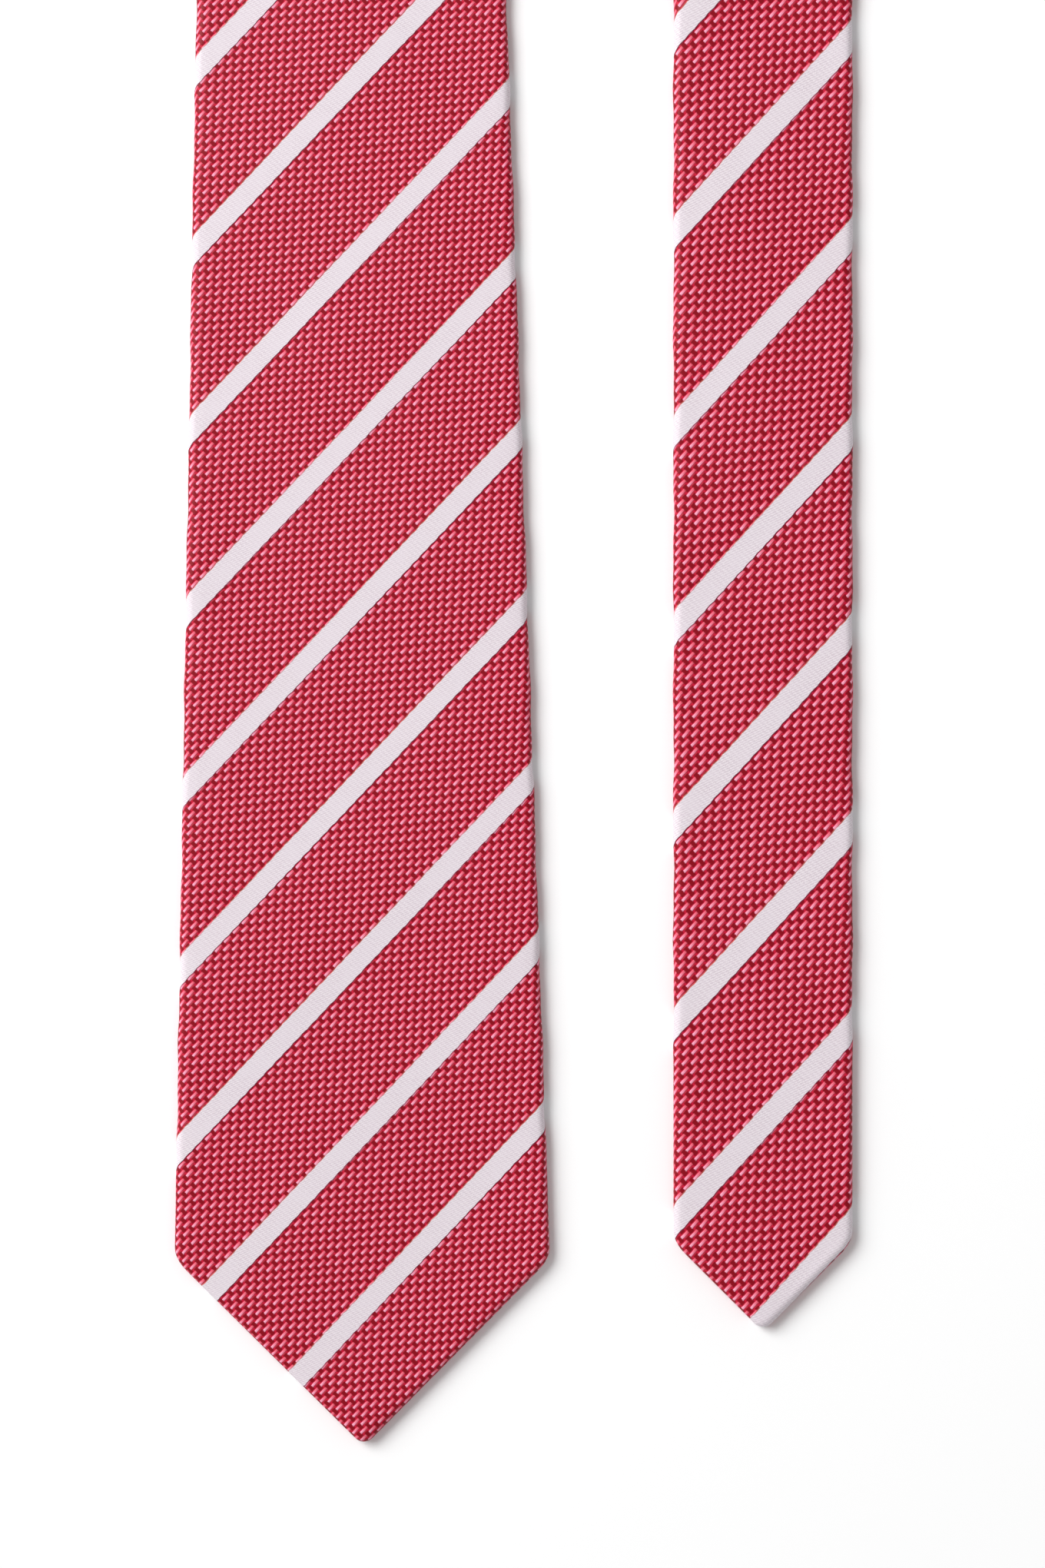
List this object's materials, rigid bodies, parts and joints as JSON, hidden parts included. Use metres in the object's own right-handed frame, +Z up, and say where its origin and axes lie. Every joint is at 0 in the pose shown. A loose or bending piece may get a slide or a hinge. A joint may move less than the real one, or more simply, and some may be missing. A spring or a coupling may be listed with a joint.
{
  "type": "necktie",
  "caption": "Striped woven silk necktie lying flat in a U, with lined points, keeper loop, folded neck and both points able to turn over.",
  "frame": {"origin": "on the ground, under the middle of the tie's bounding box", "axes": "+Z up through the cloth, +Y from the points to the folded neck, +X from the blade to the tail"},
  "size_m": [0.1446, 0.7257, 0.0093],
  "materials": {
    "silk": "crimson and pink jacquard weave with narrow satin stripes",
    "interlining": "brushed wool",
    "tipping": "smooth satin lining",
    "thread": "twisted silk thread",
    "label": "blank woven ribbon"
  },
  "bodies": {
    "neck": {"neck_shell": "silk", "neck_interlining": "interlining", "neck_seam_thread": "thread", "blade_fold_shell": "silk", "blade_fold_interlining": "interlining", "tail_fold_shell": "silk", "tail_fold_interlining": "interlining"},
    "blade": {"blade_shell": "silk", "blade_interlining": "interlining", "blade_seam_thread": "thread", "care_label": "label", "care_label_stitch_left": "thread", "care_label_stitch_right": "thread", "keeper_loop": "silk", "keeper_loop_stitch_left": "thread", "keeper_loop_stitch_right": "thread", "maker_label": "label", "maker_label_stitch_left": "thread", "maker_label_stitch_right": "thread"},
    "blade_point": {"blade_point_shell": "silk", "blade_tipping": "tipping", "blade_point_interlining": "interlining", "blade_bar_tack": "thread", "blade_point_seam_thread": "thread", "blade_hem_stitch_left": "thread", "blade_hem_stitch_right": "thread"},
    "tail": {"tail_shell": "silk", "tail_interlining": "interlining", "tail_seam_thread": "thread"},
    "tail_point": {"tail_point_shell": "silk", "tail_tipping": "tipping", "tail_point_interlining": "interlining", "tail_bar_tack": "thread", "tail_point_seam_thread": "thread", "tail_hem_stitch_left": "thread", "tail_hem_stitch_right": "thread"}
  },
  "joints": [
    {"name": "blade_fold", "type": "hinge", "parent": "neck", "child": "blade", "pos_m": [-0.03611, 0.33813, 0.00465], "axis": [-0.7071, -0.7071, 0], "range_deg": [0, 179.5], "deforming": ["blade_fold_shell", "blade_fold_interlining"]},
    {"name": "tail_fold", "type": "hinge", "parent": "neck", "child": "tail", "pos_m": [0.04656, 0.34479, 0.00465], "axis": [-0.7071, 0.7071, 0], "range_deg": [0, 179.5], "deforming": ["tail_fold_shell", "tail_fold_interlining"]},
    {"name": "blade_point_turn", "type": "hinge", "parent": "blade", "child": "blade_point", "pos_m": [-0.03198, -0.21279, 0.00345], "axis": [-1, 0, 0], "range_deg": [0, 179]},
    {"name": "tail_point_turn", "type": "hinge", "parent": "tail", "child": "tail_point", "pos_m": [0.05322, -0.22829, 0.00345], "axis": [-1, 0, 0], "range_deg": [0, 179]}
  ]
}
